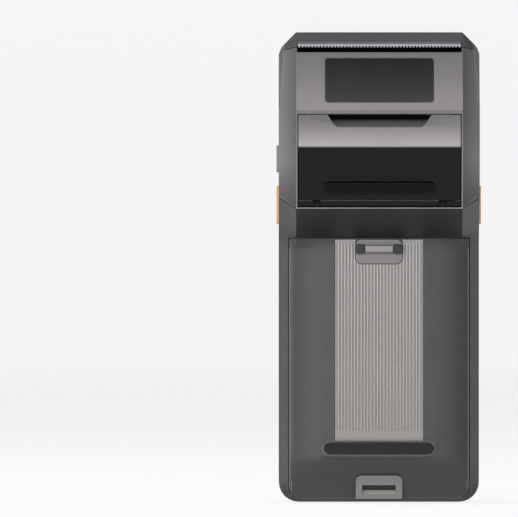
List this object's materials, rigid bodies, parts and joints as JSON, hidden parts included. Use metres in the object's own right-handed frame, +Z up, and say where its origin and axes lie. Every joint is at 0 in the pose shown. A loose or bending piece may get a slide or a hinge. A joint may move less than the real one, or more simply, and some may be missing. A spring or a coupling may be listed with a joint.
{
  "type": "handheld point of sale terminal",
  "caption": "Handheld point of sale terminal with a full front screen, a receipt printer in its raised head, a ribbed grip with a battery cover, and side triggers.",
  "frame": {"origin": "centre of the grip, where a hand holds the terminal", "axes": "+Z up along the body towards the printer head, +X to the user's right when the screen is read, +Y from the screen to the back"},
  "size_m": [0.082, 0.0586, 0.1878],
  "materials": {
    "front_glass": "polished black glass",
    "display": "dark display stack",
    "black_plastic": "fine grained black plastic",
    "silver_paint": "fine metallic silver grey lacquer on plastic",
    "mid_grey_paint": "satin grey lacquer on plastic",
    "dark_grey_plastic": "fine grained dark grey plastic",
    "label": "bare satin label film",
    "gloss_black": "smoked glossy plastic",
    "foot_rubber": "matt black rubber",
    "orange_plastic": "satin orange plastic",
    "key_grey": "satin grey plastic",
    "white_plastic": "natural nylon",
    "steel": "stainless steel sheet",
    "blade_steel": "ground stainless steel",
    "dark_steel": "blackened steel",
    "bright_steel": "bright plated steel",
    "brass": "turned brass",
    "heat_sink": "bare aluminium",
    "board": "green solder mask",
    "paper": "white thermal paper",
    "card": "brown card",
    "platen_rubber": "ground black rubber",
    "battery_wrap": "blue shrink wrap over cells",
    "ceramic": "glazed ceramic on a circuit"
  },
  "bodies": {
    "base": {"front_glass": "front_glass", "display_module": "display", "front_frame": "black_plastic", "mid_frame": "mid_grey_paint", "main_board": "board", "shield_can": "steel", "usb_receptacle": "bright_steel", "usb_tongue": "white_plastic", "right_trigger_switch": "steel", "left_trigger_switch": "steel", "side_key_switch": "steel", "board_screw_1": "dark_steel", "board_screw_2": "dark_steel", "board_screw_3": "dark_steel", "board_screw_4": "dark_steel", "case_screw_1": "dark_steel", "case_screw_2": "dark_steel", "case_screw_3": "dark_steel", "case_screw_4": "dark_steel", "chassis_screw_1": "dark_steel", "chassis_screw_2": "dark_steel", "rear_housing": "silver_paint", "top_cap": "dark_grey_plastic", "cutter_blade": "blade_steel", "label_plate": "label", "paper_bay": "black_plastic", "printer_chassis": "steel", "platen_bush_right": "brass", "platen_bush_left": "brass", "idler_pin": "steel", "stepper_motor": "steel", "thermal_head": "ceramic", "head_heat_sink": "heat_sink", "head_spring_right": "steel", "head_spring_left": "steel", "battery_pack": "battery_wrap", "battery_contacts": "black_plastic", "grip_housing": "dark_grey_plastic"},
    "printer_door": {"printer_door": "silver_paint", "door_window": "gloss_black", "door_foot": "foot_rubber"},
    "platen": {"platen_roller": "platen_rubber", "platen_shaft": "steel", "platen_gear": "white_plastic"},
    "idler": {"idler_gear": "white_plastic"},
    "motor_rotor": {"motor_pinion": "brass"},
    "paper": {"paper_roll": "paper", "paper_core": "card"},
    "battery_cover": {"battery_cover": "dark_grey_plastic", "ribbed_strip": "silver_paint", "strap_plate": "silver_paint", "strap_post_right": "black_plastic", "strap_post_left": "black_plastic", "strap_bar": "bright_steel", "lower_strap_lug": "dark_grey_plastic", "rear_foot": "foot_rubber"},
    "right_trigger": {"right_trigger": "orange_plastic"},
    "left_trigger": {"left_trigger": "orange_plastic"},
    "side_key": {"side_key": "key_grey"}
  },
  "joints": [
    {"name": "printer_door_hinge", "type": "hinge", "parent": "base", "child": "printer_door", "pos_m": [0, 0.03831, 0.05684], "axis": [-1, 0, 0], "range_deg": [0, 90]},
    {"name": "platen_spin", "type": "hinge", "parent": "base", "child": "platen", "pos_m": [0, 0.02735, 0.10924], "axis": [1, 0, 0], "continuous": true},
    {"name": "idler_spin", "type": "hinge", "parent": "base", "child": "idler", "pos_m": [0, 0.01705, 0.10779], "axis": [1, 0, 0], "continuous": true},
    {"name": "motor_spin", "type": "hinge", "parent": "base", "child": "motor_rotor", "pos_m": [0, 0.00892, 0.10836], "axis": [1, 0, 0], "continuous": true},
    {"name": "paper_roll_spin", "type": "hinge", "parent": "base", "child": "paper", "pos_m": [0, 0.02035, 0.07564], "axis": [1, 0, 0], "continuous": true},
    {"name": "battery_cover_lift", "type": "slide", "parent": "base", "child": "battery_cover", "axis": [0, 1, 0], "range_m": [0, 0.03]},
    {"name": "right_trigger_press", "type": "slide", "parent": "base", "child": "right_trigger", "axis": [-1, 0, 0], "range_m": [0, 0.0006], "stiffness_N_per_m": 1500, "springref_m": -0.0005},
    {"name": "left_trigger_press", "type": "slide", "parent": "base", "child": "left_trigger", "axis": [1, 0, 0], "range_m": [0, 0.0006], "stiffness_N_per_m": 1500, "springref_m": -0.0005},
    {"name": "side_key_press", "type": "slide", "parent": "base", "child": "side_key", "axis": [-1, 0, 0], "range_m": [0, 0.0006], "stiffness_N_per_m": 1500, "springref_m": -0.0005}
  ],
  "couplings": [
    {"joint": "idler_spin", "follows": "platen_spin", "ratio": -0.76923},
    {"joint": "motor_spin", "follows": "platen_spin", "ratio": 2}
  ]
}
